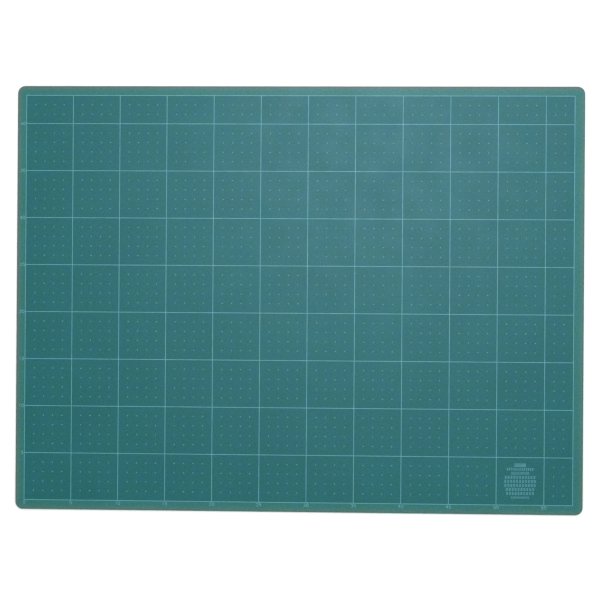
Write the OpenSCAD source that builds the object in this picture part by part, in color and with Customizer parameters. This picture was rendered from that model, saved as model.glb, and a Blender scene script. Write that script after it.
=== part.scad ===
// Self healing cutting mat: three bonded vinyl sheets with a printed centimetre grid.
// Millimetres, +Z up. The origin is the middle of the bottom face, +X runs along the
// long side and +Y points to the top of the print.

/* [Mat] */
// Length of the mat along X
mat_length = 600; // [300:50:900]
// Width of the mat along Y
mat_width = 450; // [200:50:650]
// Radius of the four corners
corner_radius = 8; // [3:1:15]
// Thickness of each soft outer sheet
skin_thickness = 0.5; // [0.4:0.1:1]
// Thickness of the hard sheet in the middle
core_thickness = 1; // [0.6:0.1:2]
// Rounding of the outer edges left by the cutting die
edge_rounding = 0.3; // [0.1:0.05:0.35]

/* [Print] */
// Distance from the mat's edge to the printed border, before the print's shift
print_margin = 10; // [9:1:20]
// Shift of the whole print towards -X
print_shift = 0.6; // [0:0.1:1]
// Thickness of the ink film
ink_thickness = 0.05; // [0.03:0.01:0.1]
// Width of the border and grid lines
line_width = 0.45; // [0.3:0.05:0.8]
// Distance between grid lines
grid_pitch = 50; // [50:10:100]
// Distance between dots
dot_pitch = 10; // [5:5:25]
// Diameter of a dot
dot_diameter = 0.9; // [0.5:0.05:1.5]

/* [Numerals] */
// Height of a numeral
digit_height = 3.4; // [2.5:0.1:4]
// Width of a numeral's strokes
digit_stroke = 0.35; // [0.3:0.05:0.5]
// Gap between the two digits of a number
digit_spacing = 0.7; // [0.5:0.05:0.8]
// Gap between the border line and the numerals
digit_gap = 0.8; // [0.5:0.1:1.2]

/* [Notice] */
// Height of the notice block's middle above the bottom border line
notice_height = 25; // [24:0.5:26]
// Distance between the notice block's rows
notice_row_pitch = 4.25; // [4:0.05:4.5]

/* [Hidden] */
$fn = 96;

total_thickness = 2 * skin_thickness + core_thickness;
mm_per_cm = 10;

// The print's own frame: its origin is the bottom left corner of the border.
print_length = mat_length - 2 * print_margin;
print_width = mat_width - 2 * print_margin;
print_left = -print_length / 2 - print_shift;
print_bottom = -print_width / 2;
// A part square at the end of a row or column is at least this wide.
least_square = 1;
grid_columns = floor((print_length - least_square) / grid_pitch);
grid_rows = floor((print_width - least_square) / grid_pitch);

// A numeral is drawn on a cell of 4 by 6 units and its strokes are centred on the cell's edges.
digit_unit = (digit_height - digit_stroke) / 6;
digit_width = 4 * digit_unit + digit_stroke;
digit_advance = digit_width + digit_spacing;

// The notice stands in the last whole square of the bottom row.
notice_column = grid_columns - 1;
// A block's share of the distance to the next one
notice_fill = 0.64;
// A bar's share of its block's height
notice_bar = 0.15;
// Each row's number of blocks, the distance between them, and their height
notice_rows = [[1, 12, 3], [13, 2.2, 2.4], [9, 2.1, 2.4], [11, 3, 2.5], [11, 3.1, 2.5],
    [11, 3.05, 2.5], [10, 3.05, 2.5], [10, 3, 2.5], [12, 1.6, 1.8]];

function arc(x, y, rx, ry, from, to, steps = 10) = [for (i = [0:steps])
    let (angle = from + (to - from) * i / steps) [x + rx * cos(angle), y + ry * sin(angle)]];

// The strokes of each numeral from 0 to 9, in units of its cell
DIGIT_STROKES = [
    [concat(arc(2, 4, 2, 2, 0, 180), arc(2, 2, 2, 2, 180, 360), [[4, 4]])],
    [[[0.9, 4.7], [2.3, 6], [2.3, 0]]],
    [concat(arc(2, 4.1, 2, 1.9, 165, -35), [[0, 0], [4, 0]])],
    [arc(1.9, 4.55, 1.8, 1.45, 155, -90), arc(1.9, 1.55, 2.1, 1.55, 90, -150)],
    [[[3.1, 0], [3.1, 6]], [[3.1, 6], [0, 1.8], [4.2, 1.8]]],
    [[[3.7, 6], [0.6, 6], [0.4, 3]], arc(1.9, 2, 2.1, 2, 145, -150)],
    [arc(2, 1.9, 2, 1.9, 0, 360, 20), arc(4, 1.9, 4, 4.1, 180, 105)],
    [[[0, 6], [4, 6], [1.4, 0]]],
    [arc(2, 4.5, 1.7, 1.5, 0, 360, 20), arc(2, 1.5, 2, 1.5, 0, 360, 20)],
    [arc(2, 4.1, 2, 1.9, 0, 360, 20), arc(0, 4.1, 4, 4.1, 0, -75)]];

function direction(a, b) = (b - a) / norm(b - a);
function is_closed(path) = norm(path[0] - path[len(path) - 1]) < 0.001;

// The least cosine that a mitre is worked out from, so that no corner is drawn out into a spike
MITRE_LIMIT = 0.6;

// Sideways step from point i of a path to its stroke's edge, mitred where the path turns
function side_step(path, i, half) =
    let (
        last = len(path) - 1,
        before = i > 0 ? path[i - 1] : is_closed(path) ? path[last - 1] : path[0] * 2 - path[1],
        after = i < last ? path[i + 1] : is_closed(path) ? path[1] : path[last] * 2 - path[last - 1],
        d1 = direction(before, path[i]),
        d2 = direction(path[i], after),
        middle = direction([0, 0], d1 + d2)
    )
    half / max(middle * d1, MITRE_LIMIT) * [-middle.y, middle.x];

// The mat's outline as a plate lying on z = 0
module plate(height) {
    linear_extrude(height) {
        square([mat_length - 2 * corner_radius, mat_width], center = true);
        square([mat_length, mat_width - 2 * corner_radius], center = true);
        for (x = [-1, 1], y = [-1, 1])
            translate([x * (mat_length / 2 - corner_radius), y * (mat_width / 2 - corner_radius)])
                circle(corner_radius);
    }
}

// What is cut from a square edge to leave a quarter round whose middle is the local origin
module edge_waste() {
    difference() {
        square([2 * edge_rounding, edge_rounding]);
        circle(edge_rounding);
    }
}

// A straight run of edge waste, outward along local +X and centred on the local origin
module edge_waste_run(run) {
    translate([0, run / 2, 0]) rotate([90, 0, 0]) linear_extrude(run) edge_waste();
}

// The waste around a sheet's whole outline, in four straight runs and four corners
module outline_waste() {
    run_x = mat_length - 2 * corner_radius;
    run_y = mat_width - 2 * corner_radius;
    for (turn = [0, 180]) {
        rotate([0, 0, turn]) translate([mat_length / 2 - edge_rounding, 0, 0]) edge_waste_run(run_y);
        rotate([0, 0, turn + 90]) translate([mat_width / 2 - edge_rounding, 0, 0]) edge_waste_run(run_x);
    }
    for (x = [-1, 1], y = [-1, 1])
        translate([x * run_x / 2, y * run_y / 2, 0])
            rotate([0, 0, x > 0 ? (y > 0 ? 0 : -90) : (y > 0 ? 90 : 180)])
                rotate_extrude(angle = 90) translate([corner_radius - edge_rounding, 0]) edge_waste();
}

// An outer sheet lying on z = 0 with its rounded edge on top
module skin_sheet() {
    difference() {
        plate(skin_thickness);
        translate([0, 0, skin_thickness - edge_rounding]) outline_waste();
    }
}

module top_sheet() {
    color("#39767a") translate([0, 0, skin_thickness + core_thickness]) skin_sheet();
}

module core_sheet() {
    color("#c9ccc4") translate([0, 0, skin_thickness]) plate(core_thickness);
}

module bottom_sheet() {
    color("#39767a") translate([0, 0, skin_thickness]) mirror([0, 0, 1]) skin_sheet();
}

// Puts its children's flat shapes in the print's frame, as ink on the top face
module ink() {
    color("#82bec6") translate([print_left, print_bottom, total_thickness])
        linear_extrude(ink_thickness) children();
}

module grid_line_print() {
    half = line_width / 2;
    ink() {
        for (x = [0, print_length, for (i = [1:grid_columns]) i * grid_pitch])
            translate([x - half, -half]) square([line_width, print_width + line_width]);
        for (y = [0, print_width, for (i = [1:grid_rows]) i * grid_pitch])
            translate([-half, y - half]) square([print_length + line_width, line_width]);
    }
}

function on_grid_line(distance) = distance % grid_pitch == 0;
function in_notice_square(x, y) = y < grid_pitch
    && x > notice_column * grid_pitch && x < (notice_column + 1) * grid_pitch;

module dot_print() {
    end_x = print_length - least_square;
    end_y = print_width - least_square;
    ink() for (x = [dot_pitch:dot_pitch:end_x], y = [dot_pitch:dot_pitch:end_y])
        if (!on_grid_line(x) && !on_grid_line(y) && !in_notice_square(x, y))
            translate([x, y]) circle(d = dot_diameter);
}

module stroke(path) {
    half = digit_stroke / 2 / digit_unit;
    steps = [for (i = [0:len(path) - 1]) side_step(path, i, half)];
    left_edge = path + steps;
    right_edge = path - steps;
    if (is_closed(path))
        difference() {
            polygon(right_edge);
            polygon(left_edge);
        }
    else
        polygon(concat(left_edge, [for (i = [len(path) - 1:-1:0]) right_edge[i]]));
}

// A whole number, centred on x and standing on y = 0
module number(value) {
    digits = value < 10 ? [value] : [floor(value / 10), value % 10];
    run = digit_advance * (len(digits) - 1) + digit_width;
    for (i = [0:len(digits) - 1])
        translate([i * digit_advance + (digit_stroke - run) / 2, digit_stroke / 2])
            scale(digit_unit) for (path = DIGIT_STROKES[digits[i]]) stroke(path);
}

// The numbers count centimetres from the border's bottom left corner.
module bottom_scale_numerals() {
    ink() for (i = [0:grid_columns])
        translate([i * grid_pitch, -line_width / 2 - digit_gap - digit_height])
            number(i * grid_pitch / mm_per_cm);
}

module left_scale_numerals() {
    middle = -line_width / 2 - digit_gap - digit_width / 2;
    ink() for (i = [1:grid_rows]) {
        value = i * grid_pitch / mm_per_cm;
        extra = value < 10 ? 0 : digit_advance / 2;
        translate([middle - extra, i * grid_pitch - digit_height / 2]) number(value);
    }
}

// One plain block of three level bars
module notice_block(size) {
    bar = size.y * notice_bar;
    for (level = [-1, 0, 1])
        translate([0, level * (size.y - bar) / 2]) square([size.x, bar], center = true);
}

// Rows of barred blocks in the place of a printed notice
module notice_block_print() {
    middle_x = (notice_column + 0.5) * grid_pitch;
    top_row = notice_height + notice_row_pitch * (len(notice_rows) - 1) / 2;
    ink() for (i = [0:len(notice_rows) - 1]) {
        count = notice_rows[i][0];
        pitch = notice_rows[i][1];
        size = [pitch * (count > 1 ? notice_fill : 1), notice_rows[i][2]];
        for (k = [0:count - 1])
            translate([middle_x + (k - (count - 1) / 2) * pitch, top_row - i * notice_row_pitch])
                notice_block(size);
    }
}

top_sheet();
core_sheet();
bottom_sheet();
grid_line_print();
dot_print();
bottom_scale_numerals();
left_scale_numerals();
notice_block_print();
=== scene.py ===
import math
import random

import bpy
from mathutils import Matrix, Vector


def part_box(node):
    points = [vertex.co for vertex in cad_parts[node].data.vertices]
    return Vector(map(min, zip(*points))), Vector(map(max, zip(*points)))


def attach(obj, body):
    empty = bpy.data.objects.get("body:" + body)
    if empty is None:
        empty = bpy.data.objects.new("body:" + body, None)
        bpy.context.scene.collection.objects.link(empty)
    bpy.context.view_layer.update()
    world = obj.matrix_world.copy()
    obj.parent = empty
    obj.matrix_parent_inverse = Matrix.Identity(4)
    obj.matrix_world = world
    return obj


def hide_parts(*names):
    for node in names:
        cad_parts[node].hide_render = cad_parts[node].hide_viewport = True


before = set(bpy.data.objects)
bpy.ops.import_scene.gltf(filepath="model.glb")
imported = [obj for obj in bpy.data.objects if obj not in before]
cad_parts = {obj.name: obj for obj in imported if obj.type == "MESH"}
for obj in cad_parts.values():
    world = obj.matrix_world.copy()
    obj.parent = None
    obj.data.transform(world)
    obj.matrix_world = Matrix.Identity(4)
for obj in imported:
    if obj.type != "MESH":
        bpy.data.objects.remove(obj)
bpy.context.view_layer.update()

# The looks of a self healing cutting mat. Every length is in metres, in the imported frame:
# the mat lies on z = 0 with its printed face up and +X along its long side.

MM = 0.001
MICROMETRE_DIGITS = 6
BODY = "root"

# Measured on the frame's nodes
FACE_LOW, FACE_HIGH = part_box("top_sheet")
CORE_LOW, CORE_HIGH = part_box("core_sheet")
BACK_LOW, BACK_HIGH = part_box("bottom_sheet")
INK_LOW, INK_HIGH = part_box("grid_line_print")
HALF_LENGTH = FACE_HIGH.x
HALF_WIDTH = FACE_HIGH.y

# The sheets' outline and cut edge, and the cells that their flat faces are divided into
CORNER_RADIUS = 8 * MM
CORNER_STEPS = 20
ROLLED_EDGE = 0.3 * MM
ROLL_STEPS = 5
FLAT_EDGE_BAND = 0.6 * MM
PLY_SEAM = 0.05 * MM
CELL = 20 * MM
SHARP_ABOVE_DEGREES = 40

# The printed lines. The border is measured to the middle of its line.
LINE_WIDTH = 0.45 * MM
BORDER_LEFT = INK_LOW.x + LINE_WIDTH / 2
BORDER_RIGHT = INK_HIGH.x - LINE_WIDTH / 2
BORDER_BOTTOM = INK_LOW.y + LINE_WIDTH / 2
BORDER_TOP = INK_HIGH.y - LINE_WIDTH / 2

# The dots. The notice takes the bottom square of one column, counted from 0 at the left.
DOT_PITCH = 10 * MM
DOTS_PER_SQUARE = 5
NOTICE_COLUMN = 10
DOT_RADIUS = 0.45 * MM
DOT_SEGMENTS = 16
# A dot's foot and shoulder, as shares of its radius and of its height
DOT_RINGS = ((1.0, 0.0), (0.85, 0.8))
# How much the dots differ: the shares that radius and height are scaled by, and a shift in place
DOT_RADIUS_RANGE = (0.93, 1.07)
DOT_HEIGHT_RANGE = (0.8, 1.0)
DOT_SHIFT = 0.02 * MM
DOT_SEED = 7

# The softened edges of the other prints
INK_WELD = 0.001 * MM
INK_SOFTNESS = 0.015 * MM
INK_SOFT_SEGMENTS = 2
INK_SOFT_ABOVE_DEGREES = 50


# ---------------------------------------------------------------- node trees

def add(tree, kind, settings=(), **inputs):
    """A new node. settings are its own fields, and inputs its sockets, by name with _ for a space."""
    made = tree.nodes.new("ShaderNode" + kind)
    for name, value in dict(settings).items():
        setattr(made, name, value)
    for name, value in inputs.items():
        plug(tree, made.inputs[name.replace("_", " ")], value)
    return made


def plug(tree, socket, value):
    """Feeds a socket from another socket, or sets it to a constant."""
    if isinstance(value, bpy.types.NodeSocket):
        tree.links.new(value, socket)
    else:
        socket.default_value = value


def calc(tree, operation, *values):
    """One Math node's result."""
    made = add(tree, "Math", {"operation": operation})
    for socket, value in zip(made.inputs, values):
        plug(tree, socket, value)
    return made.outputs[0]


def axes_of(tree, place):
    """The three coordinates of a place."""
    return add(tree, "SeparateXYZ", Vector=place).outputs


def ramp(tree, value, low, high, out_low=0.0, out_high=1.0):
    """value mapped from low..high to out_low..out_high, clamped."""
    made = add(tree, "MapRange", {"interpolation_type": "SMOOTHSTEP"}, Value=value)
    for name, number in (("From Min", low), ("From Max", high), ("To Min", out_low), ("To Max", out_high)):
        made.inputs[name].default_value = number
    return made.outputs["Result"]


def noise(tree, place, size, detail=3.0, roughness=0.5):
    """Noise whose features are about size metres across."""
    made = add(tree, "TexNoise", Vector=place, Scale=1 / size, Detail=detail, Roughness=roughness)
    return made.outputs[0]


def patches(tree, place, noise_values, ramp_values):
    """Noise put through a ramp."""
    return ramp(tree, noise(tree, place, *noise_values), *ramp_values)


def blend_colours(tree, factor, first, second, mode="MIX"):
    """One colour Mix node's result. In mode MIX it is first at factor 0 and second at 1."""
    made = add(tree, "Mix", {"data_type": "RGBA", "blend_type": mode})
    plug(tree, made.inputs["Factor"], factor)
    plug(tree, made.inputs["A"], first)
    plug(tree, made.inputs["B"], second)
    return made.outputs["Result"]


def multiply_colours(tree, first, second):
    """The product of two colours."""
    return blend_colours(tree, 1.0, first, second, "MULTIPLY")


def grey_of(tree, value):
    """A grey colour from one number."""
    made = add(tree, "CombineColor")
    for channel in made.inputs:
        plug(tree, channel, value)
    return made.outputs[0]


def bump_chain(tree, shader, layers):
    """Stacks bump layers of (height socket, depth in metres) and feeds the shader's normal."""
    normal = None
    for height, depth in layers:
        made = add(tree, "Bump", Height=height, Strength=1.0, Distance=depth)
        if normal is not None:
            plug(tree, made.inputs["Normal"], normal)
        normal = made.outputs["Normal"]
    plug(tree, shader.inputs["Normal"], normal)


def new_material(name):
    """A material with its node tree and shader, and the place on the mat as a vector."""
    material = bpy.data.materials.new(name)
    material.use_nodes = True
    tree = material.node_tree
    shader = tree.nodes["Principled BSDF"]
    place = add(tree, "TexCoord").outputs["Object"]
    return material, tree, shader, place


# ---------------------------------------------------------------- the vinyl

# Colours are linear. In all three materials a NOISE holds noise()'s size, detail and roughness,
# and a RAMP holds ramp()'s low, high, out_low and out_high. The last of them may be left out.

FIELD_GREEN = (0.0085, 0.104, 0.105, 1)
MARGIN_GREEN = (0.021, 0.137, 0.120, 1)
VINYL_IOR = 1.5
VINYL_SHEEN = (0.55, 0.78, 1.00, 1)
VINYL_ROUGHNESS_NOISE = (25 * MM, 3.0)
VINYL_ROUGHNESS_RAMP = (0.25, 0.75, 0.455, 0.50)

# A small dark nick in the face, and how far it reaches
NICK_BLACK = (0.010, 0.030, 0.032, 1)
NICK_PLACE = Vector((-0.13, -0.158))
NICK_RADIUS = 0.8 * MM

# Along the edge: a scuffed band with a ragged inner side, and painted shade in a darker line at the cut,
# where the rolled edge turns away from the light
SCUFFED_GREEN = (0.070, 0.139, 0.114, 1)
SCUFF_RAMP = (1.5 * MM, 8.5 * MM, 0.85, 0.0)
RAGGED_NOISE = (6 * MM, 3.0)
RAGGED_DEPTH = 3 * MM
PAINTED_RIM_SHADE_RAMP = (0.3 * MM, 1.4 * MM, 0.78, 1.0)

# All over: tints that drift between a little less and a little more blue, then two shades
LESS_BLUE = (1.00, 1.00, 0.94, 1)
MORE_BLUE = (0.98, 0.99, 1.06, 1)
TINT_NOISE = (14 * MM, 2.0)
TINT_RAMP = (0.35, 0.65)
CLOUD_NOISE = (70 * MM, 2.0)
CLOUD_RAMP = (0.3, 0.7, 0.97, 1.03)
MOTTLE_NOISE = (2 * MM, 4.0, 0.65)
MOTTLE_RAMP = (0.3, 0.7, 0.83, 1.17)

# The emboss: fine pebbles on a slow orange peel
PEEL_NOISE = (3 * MM, 2.0)
PEEL_DEPTH = 0.03 * MM
PEBBLE_SIZE = 0.45 * MM
PEBBLE_DEPTH = 0.03 * MM


def depth_in_outline(tree, place):
    """How far a point lies inside the mat's rounded outline."""
    x, y = axes_of(tree, place)[:2]
    over_x = calc(tree, "SUBTRACT", calc(tree, "ABSOLUTE", x), HALF_LENGTH - CORNER_RADIUS)
    over_y = calc(tree, "SUBTRACT", calc(tree, "ABSOLUTE", y), HALF_WIDTH - CORNER_RADIUS)
    square_x = calc(tree, "POWER", calc(tree, "MAXIMUM", over_x, 0.0), 2.0)
    square_y = calc(tree, "POWER", calc(tree, "MAXIMUM", over_y, 0.0), 2.0)
    outside = calc(tree, "SQRT", calc(tree, "ADD", square_x, square_y))
    inside = calc(tree, "MINIMUM", calc(tree, "MAXIMUM", over_x, over_y), 0.0)
    return calc(tree, "SUBTRACT", CORNER_RADIUS, calc(tree, "ADD", outside, inside))


def depth_in_border(tree, place):
    """How far a point lies inside the printed border, negative in the margin."""
    x, y = axes_of(tree, place)[:2]
    left = calc(tree, "SUBTRACT", x, BORDER_LEFT)
    right = calc(tree, "SUBTRACT", BORDER_RIGHT, x)
    below = calc(tree, "SUBTRACT", y, BORDER_BOTTOM)
    above = calc(tree, "SUBTRACT", BORDER_TOP, y)
    return calc(tree, "MINIMUM", calc(tree, "MINIMUM", left, right), calc(tree, "MINIMUM", below, above))


def face_green(tree, place):
    """The face's green: a shade darker inside the printed border, with one dark nick."""
    in_field = ramp(tree, depth_in_border(tree, place), -LINE_WIDTH / 2, LINE_WIDTH / 2)
    green = blend_colours(tree, in_field, MARGIN_GREEN, FIELD_GREEN)
    away = add(tree, "VectorMath", {"operation": "DISTANCE"})
    plug(tree, away.inputs[0], place)
    plug(tree, away.inputs[1], (NICK_PLACE.x, NICK_PLACE.y, FACE_HIGH.z))
    nick = ramp(tree, away.outputs["Value"], NICK_RADIUS / 2, NICK_RADIUS, 1.0, 0.0)
    return blend_colours(tree, nick, green, NICK_BLACK)


def worn_green(tree, place, green, edge_depth):
    """green scuffed along the edge, and drifting a little in tint."""
    ragged = noise(tree, place, *RAGGED_NOISE)
    scuff_depth = calc(tree, "MULTIPLY_ADD", ragged, RAGGED_DEPTH, edge_depth)
    scuffed = blend_colours(tree, ramp(tree, scuff_depth, *SCUFF_RAMP), green, SCUFFED_GREEN)
    tint = blend_colours(tree, patches(tree, place, TINT_NOISE, TINT_RAMP), LESS_BLUE, MORE_BLUE)
    return multiply_colours(tree, scuffed, tint)


def vinyl_shade(tree, place, edge_depth):
    """How light the vinyl is: clouded, mottled, and darker at the cut, where shade is painted along the
    rolled edge.
    """
    cloud = patches(tree, place, CLOUD_NOISE, CLOUD_RAMP)
    mottle = patches(tree, place, MOTTLE_NOISE, MOTTLE_RAMP)
    # Painted shade: the vinyl is darkened within about a millimetre of the outline, where the rolled edge
    # turns away from the light
    cut = ramp(tree, edge_depth, *PAINTED_RIM_SHADE_RAMP)
    return calc(tree, "MULTIPLY", calc(tree, "MULTIPLY", cloud, mottle), cut)


def vinyl(name, has_field):
    """Soft green vinyl with a fine matt emboss. has_field is true for the printed face."""
    material, tree, shader, place = new_material(name)
    edge_depth = depth_in_outline(tree, place)
    green = face_green(tree, place) if has_field else MARGIN_GREEN
    green = worn_green(tree, place, green, edge_depth)
    shade = grey_of(tree, vinyl_shade(tree, place, edge_depth))
    plug(tree, shader.inputs["Base Color"], multiply_colours(tree, green, shade))
    roughness = patches(tree, place, VINYL_ROUGHNESS_NOISE, VINYL_ROUGHNESS_RAMP)
    plug(tree, shader.inputs["Roughness"], roughness)
    shader.inputs["IOR"].default_value = VINYL_IOR
    shader.inputs["Specular Tint"].default_value = VINYL_SHEEN
    peel = noise(tree, place, *PEEL_NOISE)
    pebble = add(tree, "TexVoronoi", {"feature": "SMOOTH_F1"}, Vector=place, Scale=1 / PEBBLE_SIZE)
    bump_chain(tree, shader, [(peel, PEEL_DEPTH), (pebble.outputs["Distance"], PEBBLE_DEPTH)])
    return material


# ---------------------------------------------------------------- the core

CORE_WHITE = (0.50, 0.52, 0.47, 1)
CORE_IOR = 1.54

# Green dragged over the cut by the blade
CORE_SMEAR = (0.27, 0.38, 0.34, 1)
SMEAR_NOISE = (9 * MM, 4.0)
SMEAR_RAMP = (0.42, 0.75, 0.0, 0.7)

# The knife marks, which are drawn out upwards because only a share of z counts
MARK_NOISE = (0.4 * MM, 4.0, 0.7)
MARK_Z_SHARE = 0.15
MARK_DEPTH = 0.06 * MM
# How much darker the core is in the low parts of the knife marks
MARK_DARKENING_RAMP = (0.3, 0.65, 0.72, 1.0)
CORE_ROUGHNESS_RAMP = (0.3, 0.7, 0.35, 0.55)


def core_vinyl():
    """Hard off-white vinyl, seen only on the cut edge, with upright knife marks and a smear of green."""
    material, tree, shader, place = new_material("hard_core_vinyl")
    x, y, z = axes_of(tree, place)
    upright = add(tree, "CombineXYZ", X=x, Y=y, Z=calc(tree, "MULTIPLY", z, MARK_Z_SHARE)).outputs[0]
    marks = noise(tree, upright, *MARK_NOISE)
    smear = patches(tree, place, SMEAR_NOISE, SMEAR_RAMP)
    smeared = blend_colours(tree, smear, CORE_WHITE, CORE_SMEAR)
    # The core is darker in the low parts of the knife marks
    mark_darkening = grey_of(tree, ramp(tree, marks, *MARK_DARKENING_RAMP))
    plug(tree, shader.inputs["Base Color"], multiply_colours(tree, smeared, mark_darkening))
    plug(tree, shader.inputs["Roughness"], ramp(tree, marks, *CORE_ROUGHNESS_RAMP))
    shader.inputs["IOR"].default_value = CORE_IOR
    bump_chain(tree, shader, [(marks, MARK_DEPTH)])
    return material


# ---------------------------------------------------------------- the ink

INK_BLUE = (0.140, 0.400, 0.480, 1)
INK_IOR = 1.5

# Where the ink is thin, in wide patches and in the grain of the screen's mesh
INK_THIN = (0.092, 0.310, 0.375, 1)
THIN_NOISE = (12 * MM, 4.0, 0.6)
THIN_RAMP = (0.35, 0.7, 0.0, 0.7)
GRAIN_NOISE = (0.25 * MM, 2.0)
GRAIN_RAMP = (0.35, 0.65, 0.0, 0.3)
INK_ROUGHNESS_RAMP = (0.0, 0.7, 0.45, 0.6)

INK_BUMP_NOISE = (0.3 * MM, 2.0)
INK_BUMP_DEPTH = 0.01 * MM


def print_ink():
    """Pale screen ink, a little thin in places and grainy from the mesh."""
    material, tree, shader, place = new_material("pale_print_ink")
    thin = patches(tree, place, THIN_NOISE, THIN_RAMP)
    worn = calc(tree, "MAXIMUM", thin, patches(tree, place, GRAIN_NOISE, GRAIN_RAMP))
    plug(tree, shader.inputs["Base Color"], blend_colours(tree, worn, INK_BLUE, INK_THIN))
    plug(tree, shader.inputs["Roughness"], ramp(tree, thin, *INK_ROUGHNESS_RAMP))
    shader.inputs["IOR"].default_value = INK_IOR
    bump_chain(tree, shader, [(noise(tree, place, *INK_BUMP_NOISE), INK_BUMP_DEPTH)])
    return material


# ---------------------------------------------------------------- the three sheets

def new_piece(name, vertices, faces, material):
    """A smooth shaded mesh that rides on the mat."""
    mesh = bpy.data.meshes.new(name)
    mesh.from_pydata(vertices, [], faces)
    mesh.materials.append(material)
    mesh.polygons.foreach_set("use_smooth", [True] * len(mesh.polygons))
    mesh.set_sharp_from_angle(angle=math.radians(SHARP_ABOVE_DEGREES))
    mesh.update()
    piece = bpy.data.objects.new(name, mesh)
    bpy.context.scene.collection.objects.link(piece)
    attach(piece, BODY)
    return piece


def steps_between(low, high, size):
    """Evenly spaced numbers from low to high, about size apart, both ends included."""
    count = max(1, round((high - low) / size))
    return [low + (high - low) * i / count for i in range(count + 1)]


def outline_rays(grid_x, grid_y):
    """The rounded outline, anticlockwise, as pairs of an anchor and a direction out.

    The anchors lie on the inner rectangle that grid_x and grid_y span.
    """
    rays = []
    for quarter in range(4):
        turn = math.pi / 2 * quarter
        across = math.cos(turn + math.pi / 4)
        up = math.sin(turn + math.pi / 4)
        corner = Vector((math.copysign(grid_x[-1], across), math.copysign(grid_y[-1], up)))
        for step in range(CORNER_STEPS + 1):
            angle = turn + math.pi / 2 * step / CORNER_STEPS
            rays.append((corner, Vector((math.cos(angle), math.sin(angle)))))
        side = grid_x if quarter % 2 == 0 else grid_y
        inner = side[1:-1]
        along = reversed(inner) if quarter in (0, 1) else inner
        out = Vector((round(math.cos(turn + math.pi / 2)), round(math.sin(turn + math.pi / 2))))
        for place in along:
            anchor = Vector((place, corner.y)) if quarter % 2 == 0 else Vector((corner.x, place))
            rays.append((anchor, out))
    return rays


def grid_key(x, y):
    """A grid point's key, to the micrometre, because a Vector's numbers are less exact than the grid's."""
    return round(x, MICROMETRE_DIGITS), round(y, MICROMETRE_DIGITS)


def cap_faces(vertices, faces, rays, ring, height, grid, is_top):
    """Closes a sheet's flat face: a grid of cells inside, strips along the sides and fans in the corners."""
    grid_x, grid_y = grid
    vertex_of = {}
    for x in grid_x:
        for y in grid_y:
            vertex_of[grid_key(x, y)] = len(vertices)
            vertices.append((x, y, height))

    def inner(x, y):
        """The vertex at a grid point."""
        return vertex_of[grid_key(x, y)]

    made = []
    for x0, x1 in zip(grid_x, grid_x[1:]):
        for y0, y1 in zip(grid_y, grid_y[1:]):
            made.append((inner(x0, y0), inner(x1, y0), inner(x1, y1), inner(x0, y1)))
    for i in range(len(rays)):
        k = (i + 1) % len(rays)
        near, far = inner(*rays[i][0]), inner(*rays[k][0])
        made.append((ring[i], ring[k], near) if near == far else (ring[i], ring[k], far, near))
    faces.extend(made if is_top else [face[::-1] for face in made])


def sheet(name, profile, material):
    """A sheet with the mat's outline.

    profile is its edge, as pairs of inset and height from the lower face to the upper.
    """
    grid_x = steps_between(-HALF_LENGTH + CORNER_RADIUS, HALF_LENGTH - CORNER_RADIUS, CELL)
    grid_y = steps_between(-HALF_WIDTH + CORNER_RADIUS, HALF_WIDTH - CORNER_RADIUS, CELL)
    rays = outline_rays(grid_x, grid_y)
    vertices, faces, rings = [], [], []
    for inset, height in profile:
        rings.append([len(vertices) + i for i in range(len(rays))])
        for anchor, out in rays:
            point = anchor + out * (CORNER_RADIUS - inset)
            vertices.append((point.x, point.y, height))
    for lower, upper in zip(rings, rings[1:]):
        for i in range(len(rays)):
            k = (i + 1) % len(rays)
            faces.append((lower[i], lower[k], upper[k], upper[i]))
    cap_faces(vertices, faces, rays, rings[0], profile[0][1], (grid_x, grid_y), is_top=False)
    cap_faces(vertices, faces, rays, rings[-1], profile[-1][1], (grid_x, grid_y), is_top=True)
    return new_piece(name, vertices, faces, material)


def quarter_roll(z, towards):
    """A cut edge rolled over by the die, from the side wall to the flat face at height z.

    towards is 1 for an upper face and -1 for a lower one.
    """
    points = []
    for step in range(ROLL_STEPS + 1):
        angle = math.pi / 2 * step / ROLL_STEPS
        inset = ROLLED_EDGE * (1 - math.cos(angle))
        points.append((inset, z - towards * ROLLED_EDGE * (1 - math.sin(angle))))
    points.append((ROLLED_EDGE + FLAT_EDGE_BAND, z))
    return points


def make_sheets():
    """The three bonded sheets, with a fine groove along the cut edge wherever two of them meet."""
    seam_low = [(PLY_SEAM, FACE_LOW.z), (0.0, FACE_LOW.z + PLY_SEAM)]
    face_edge = seam_low + quarter_roll(FACE_HIGH.z, 1)
    face = sheet("face_sheet", face_edge, vinyl("face_green_vinyl", True))
    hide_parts("top_sheet")
    core_edge = [(2 * PLY_SEAM, CORE_LOW.z), (PLY_SEAM, CORE_LOW.z + PLY_SEAM),
                 (PLY_SEAM, CORE_HIGH.z - PLY_SEAM), (2 * PLY_SEAM, CORE_HIGH.z)]
    core = sheet("core_board", core_edge, core_vinyl())
    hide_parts("core_sheet")
    seam_high = [(0.0, BACK_HIGH.z - PLY_SEAM), (PLY_SEAM, BACK_HIGH.z)]
    back_edge = quarter_roll(BACK_LOW.z, -1)[::-1] + seam_high
    back = sheet("back_sheet", back_edge, vinyl("back_green_vinyl", False))
    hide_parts("bottom_sheet")


# ---------------------------------------------------------------- the print

def dot_places():
    """The centimetre crossings with a dot: those off the grid lines and outside the notice's square."""
    columns = round((BORDER_RIGHT - BORDER_LEFT) / DOT_PITCH)
    rows = round((BORDER_TOP - BORDER_BOTTOM) / DOT_PITCH)
    for column in range(1, columns):
        for row in range(1, rows):
            on_line = column % DOTS_PER_SQUARE == 0 or row % DOTS_PER_SQUARE == 0
            in_notice = row < DOTS_PER_SQUARE and column // DOTS_PER_SQUARE == NOTICE_COLUMN
            if not (on_line or in_notice):
                yield Vector((BORDER_LEFT + column * DOT_PITCH, BORDER_BOTTOM + row * DOT_PITCH))


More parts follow.
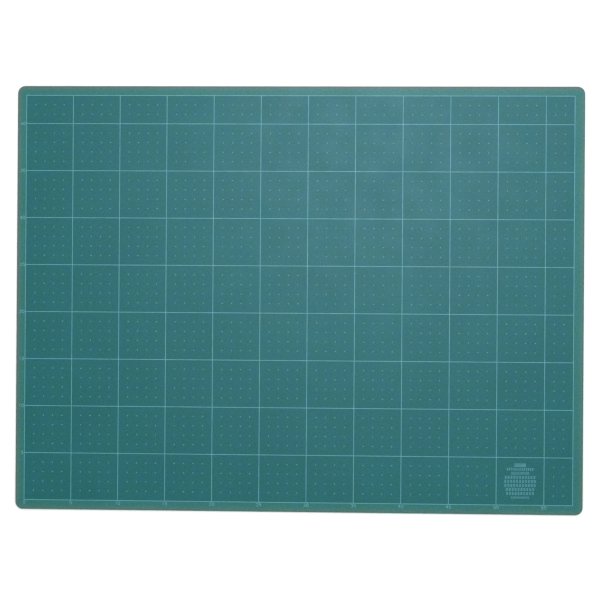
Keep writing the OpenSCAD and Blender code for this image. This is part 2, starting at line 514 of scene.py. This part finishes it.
def make_dots(ink):
    """Low domes of ink, each a little different in size, height and place."""
    chance = random.Random(DOT_SEED)
    vertices, faces = [], []
    rise = INK_HIGH.z - INK_LOW.z
    for centre in dot_places():
        centre = centre + Vector((chance.gauss(0, DOT_SHIFT), chance.gauss(0, DOT_SHIFT)))
        radius = DOT_RADIUS * chance.uniform(*DOT_RADIUS_RANGE)
        height = rise * chance.uniform(*DOT_HEIGHT_RANGE)
        start = len(vertices)
        for share, level in DOT_RINGS:
            for i in range(DOT_SEGMENTS):
                angle = 2 * math.pi * i / DOT_SEGMENTS
                edge = centre + share * radius * Vector((math.cos(angle), math.sin(angle)))
                vertices.append((edge.x, edge.y, INK_LOW.z + level * height))
        top = len(vertices)
        vertices.append((centre.x, centre.y, INK_LOW.z + height))
        faces.append([start + i for i in reversed(range(DOT_SEGMENTS))])
        for i in range(DOT_SEGMENTS):
            k = (i + 1) % DOT_SEGMENTS
            low, low_next = start + i, start + k
            high, high_next = start + DOT_SEGMENTS + i, start + DOT_SEGMENTS + k
            faces.append((low, low_next, high_next, high))
            faces.append((high, high_next, top))
    dots = new_piece("ink_dots", vertices, faces, ink)
    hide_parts("dot_print")


def soften_ink(ink):
    """The other prints keep their CAD shape, with softened edges and the ink's material."""
    for name in ("grid_line_print", "bottom_scale_numerals", "left_scale_numerals", "notice_block_print"):
        print_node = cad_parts[name]
        print_node.data.materials.clear()
        print_node.data.materials.append(ink)
        weld = print_node.modifiers.new("join_faces", "WELD")
        weld.merge_threshold = INK_WELD
        bevel = print_node.modifiers.new("soft_ink_edge", "BEVEL")
        bevel.width = INK_SOFTNESS
        bevel.segments = INK_SOFT_SEGMENTS
        bevel.limit_method = "ANGLE"
        bevel.angle_limit = math.radians(INK_SOFT_ABOVE_DEGREES)


# ---------------------------------------------------------------- floor, light and camera

FLOOR_SIZE = 12.0
FLOOR_WHITE = (0.93, 0.93, 0.93, 1)

# The dome brightens between two heights above the horizon, and is dark within a cap round the
# point straight up. The cap's two angles from that point are where it starts to fade and where it ends.
HORIZON_STRENGTH = 0.62
DOME_STRENGTH = 1.54
DOME_WHITE = (1, 1, 1, 1)
HORIZON_DEGREES = (4, 30)
DARK_CAP_DEGREES = (39, 51)

KEY_PLACE = Vector((0.123, 0.412, 1.5))
KEY_SIZE = (0.4, 0.8)
KEY_WATTS = 16.5

CAMERA_PLACE = (0.0547, -0.0026, 1.5)
CAMERA_DEGREES = (0.078, 2.023, 0.379)
CAMERA_LENS = 85.1
CAMERA_SENSOR_WIDTH = 36


def make_floor():
    """A plain pale floor that isn't glossy."""
    half = FLOOR_SIZE / 2
    corners = [(-half, -half, 0), (half, -half, 0), (half, half, 0), (-half, half, 0)]
    mesh = bpy.data.meshes.new("floor")
    mesh.from_pydata(corners, [], [(0, 1, 2, 3)])
    floor = bpy.data.objects.new("floor", mesh)
    bpy.context.scene.collection.objects.link(floor)
    material, _, shader, _ = new_material("pale_floor")
    shader.inputs["Base Color"].default_value = FLOOR_WHITE
    shader.inputs["Roughness"].default_value = 1.0
    shader.inputs["Specular IOR Level"].default_value = 0.0
    mesh.materials.append(material)


def make_dome():
    """Soft light from all round, dim at the horizon and dark overhead, where it would veil the print."""
    world = bpy.data.worlds.new("soft_dome")
    world.use_nodes = True
    tree = world.node_tree
    upward = axes_of(tree, add(tree, "TexCoord").outputs["Generated"])[2]
    low, high = [math.sin(math.radians(angle)) for angle in HORIZON_DEGREES]
    side = ramp(tree, upward, low, high, HORIZON_STRENGTH, DOME_STRENGTH)
    inner, outer = [math.cos(math.radians(angle)) for angle in DARK_CAP_DEGREES]
    strength = calc(tree, "MULTIPLY", side, ramp(tree, upward, outer, inner, 1.0, 0.0))
    background = tree.nodes["Background"]
    plug(tree, background.inputs["Strength"], strength)
    background.inputs["Color"].default_value = DOME_WHITE
    bpy.context.scene.world = world


def make_key_light():
    """A soft box above the far side, which lays a broad sheen over the top of the mat."""
    light = bpy.data.lights.new("key_soft_box", "AREA")
    light.shape = "RECTANGLE"
    light.size, light.size_y = KEY_SIZE
    light.energy = KEY_WATTS
    lamp = bpy.data.objects.new("key_soft_box", light)
    lamp.location = KEY_PLACE
    lamp.rotation_euler = (-KEY_PLACE).to_track_quat("-Z", "Y").to_euler()
    bpy.context.scene.collection.objects.link(lamp)


def make_camera():
    """Almost straight above the mat."""
    data = bpy.data.cameras.new("camera")
    data.sensor_width = CAMERA_SENSOR_WIDTH
    data.lens = CAMERA_LENS
    camera = bpy.data.objects.new("camera", data)
    camera.location = CAMERA_PLACE
    camera.rotation_euler = [math.radians(angle) for angle in CAMERA_DEGREES]
    bpy.context.scene.collection.objects.link(camera)
    bpy.context.scene.camera = camera


# ---------------------------------------------------------------- the scene

make_camera()
make_dome()
make_key_light()
make_floor()
make_sheets()
ink_material = print_ink()
make_dots(ink_material)
soften_ink(ink_material)
bpy.context.scene.view_settings.view_transform = "Standard"
